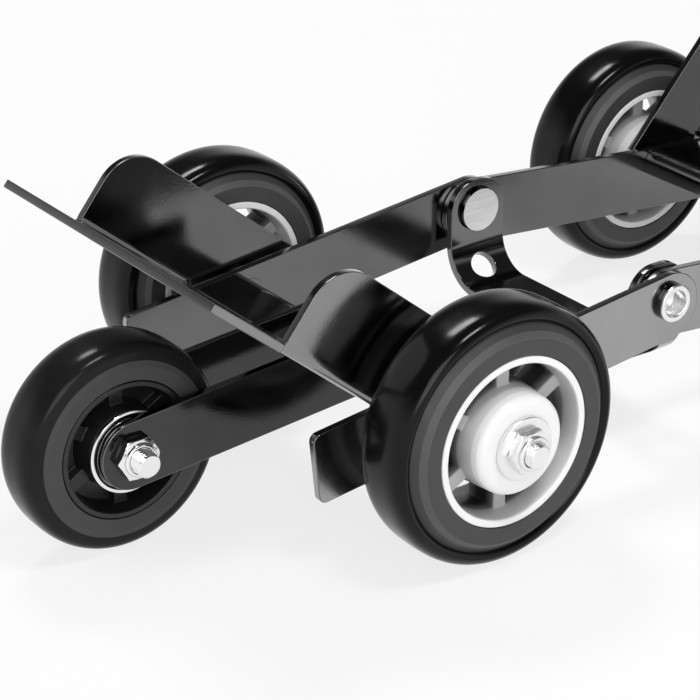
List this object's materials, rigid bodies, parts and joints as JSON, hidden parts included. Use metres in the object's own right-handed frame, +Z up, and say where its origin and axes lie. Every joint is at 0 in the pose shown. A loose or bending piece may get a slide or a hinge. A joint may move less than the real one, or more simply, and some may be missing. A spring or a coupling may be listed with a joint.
{
  "type": "motorcycle mover",
  "caption": "Low hinged cradle on castor wheels that carries a motorcycle by one flat tyre, with bent ramps, raised cheeks, a hanging saddle strip and a nose wheel in a fork.",
  "frame": {"origin": "on the ground, below the middle of the overall length and on the centre plane", "axes": "+Z up, X along the mover with the nose wheel towards -X, Y across it along the axles"},
  "size_m": [0.5532, 0.291, 0.1483],
  "materials": {
    "frame_paint": "glossy black paint on flat steel",
    "zinc": "bright zinc plate",
    "bearing_steel": "ground steel",
    "black_tyre": "smooth black polyurethane with a soft gloss",
    "white_core": "white moulded nylon",
    "black_core": "black moulded nylon",
    "bearing_plastic": "plain bearing nylon"
  },
  "bodies": {
    "front_frame": {"front_left_bar": "frame_paint", "front_right_bar": "frame_paint", "front_ramp": "frame_paint", "nose_fork_left_tine": "frame_paint", "nose_fork_right_tine": "frame_paint", "left_pivot_pin": "zinc", "right_pivot_pin": "zinc", "front_left_stud": "zinc", "front_left_spacer": "zinc", "front_left_sleeve": "bearing_steel", "front_left_washer": "zinc", "front_left_nut": "zinc", "front_right_stud": "zinc", "front_right_spacer": "zinc", "front_right_sleeve": "bearing_steel", "front_right_washer": "zinc", "front_right_nut": "zinc", "nose_bolt": "zinc", "nose_sleeve": "bearing_steel", "nose_left_washer": "zinc", "nose_right_washer": "zinc", "nose_nut": "zinc"},
    "rear_frame": {"rear_left_bar": "frame_paint", "rear_right_bar": "frame_paint", "rear_ramp": "frame_paint", "rear_left_stud": "zinc", "rear_left_spacer": "zinc", "rear_left_sleeve": "bearing_steel", "rear_left_washer": "zinc", "rear_left_nut": "zinc", "rear_right_stud": "zinc", "rear_right_spacer": "zinc", "rear_right_sleeve": "bearing_steel", "rear_right_washer": "zinc", "rear_right_nut": "zinc"},
    "saddle": {"saddle_bracket": "frame_paint"},
    "front_left_wheel": {"front_left_tyre": "black_tyre", "front_left_core": "white_core", "front_left_bush": "bearing_plastic"},
    "front_right_wheel": {"front_right_tyre": "black_tyre", "front_right_core": "white_core", "front_right_bush": "bearing_plastic"},
    "rear_left_wheel": {"rear_left_tyre": "black_tyre", "rear_left_core": "white_core", "rear_left_bush": "bearing_plastic"},
    "rear_right_wheel": {"rear_right_tyre": "black_tyre", "rear_right_core": "white_core", "rear_right_bush": "bearing_plastic"},
    "nose_wheel": {"nose_tyre": "black_tyre", "nose_core": "black_core", "nose_bush": "bearing_plastic"}
  },
  "joints": [
    {"name": "fold", "type": "hinge", "parent": "front_frame", "child": "rear_frame", "pos_m": [0.04043, 0, 0.0759], "axis": [0, -1, 0], "range_deg": [-15, 100]},
    {"name": "saddle_swing", "type": "hinge", "parent": "front_frame", "child": "saddle", "pos_m": [0.04043, 0, 0.0759], "axis": [0, 1, 0], "range_deg": [-90, 90]},
    {"name": "front_left_spin", "type": "hinge", "parent": "front_frame", "child": "front_left_wheel", "pos_m": [-0.09677, -0.1099, 0.0625], "axis": [0, 1, 0], "continuous": true},
    {"name": "front_right_spin", "type": "hinge", "parent": "front_frame", "child": "front_right_wheel", "pos_m": [-0.09677, 0.1099, 0.0625], "axis": [0, 1, 0], "continuous": true},
    {"name": "rear_left_spin", "type": "hinge", "parent": "rear_frame", "child": "rear_left_wheel", "pos_m": [0.18393, -0.1099, 0.0625], "axis": [0, 1, 0], "continuous": true},
    {"name": "rear_right_spin", "type": "hinge", "parent": "rear_frame", "child": "rear_right_wheel", "pos_m": [0.18393, 0.1099, 0.0625], "axis": [0, 1, 0], "continuous": true},
    {"name": "nose_spin", "type": "hinge", "parent": "front_frame", "child": "nose_wheel", "pos_m": [-0.22557, 0, 0.051], "axis": [0, 1, 0], "continuous": true}
  ]
}
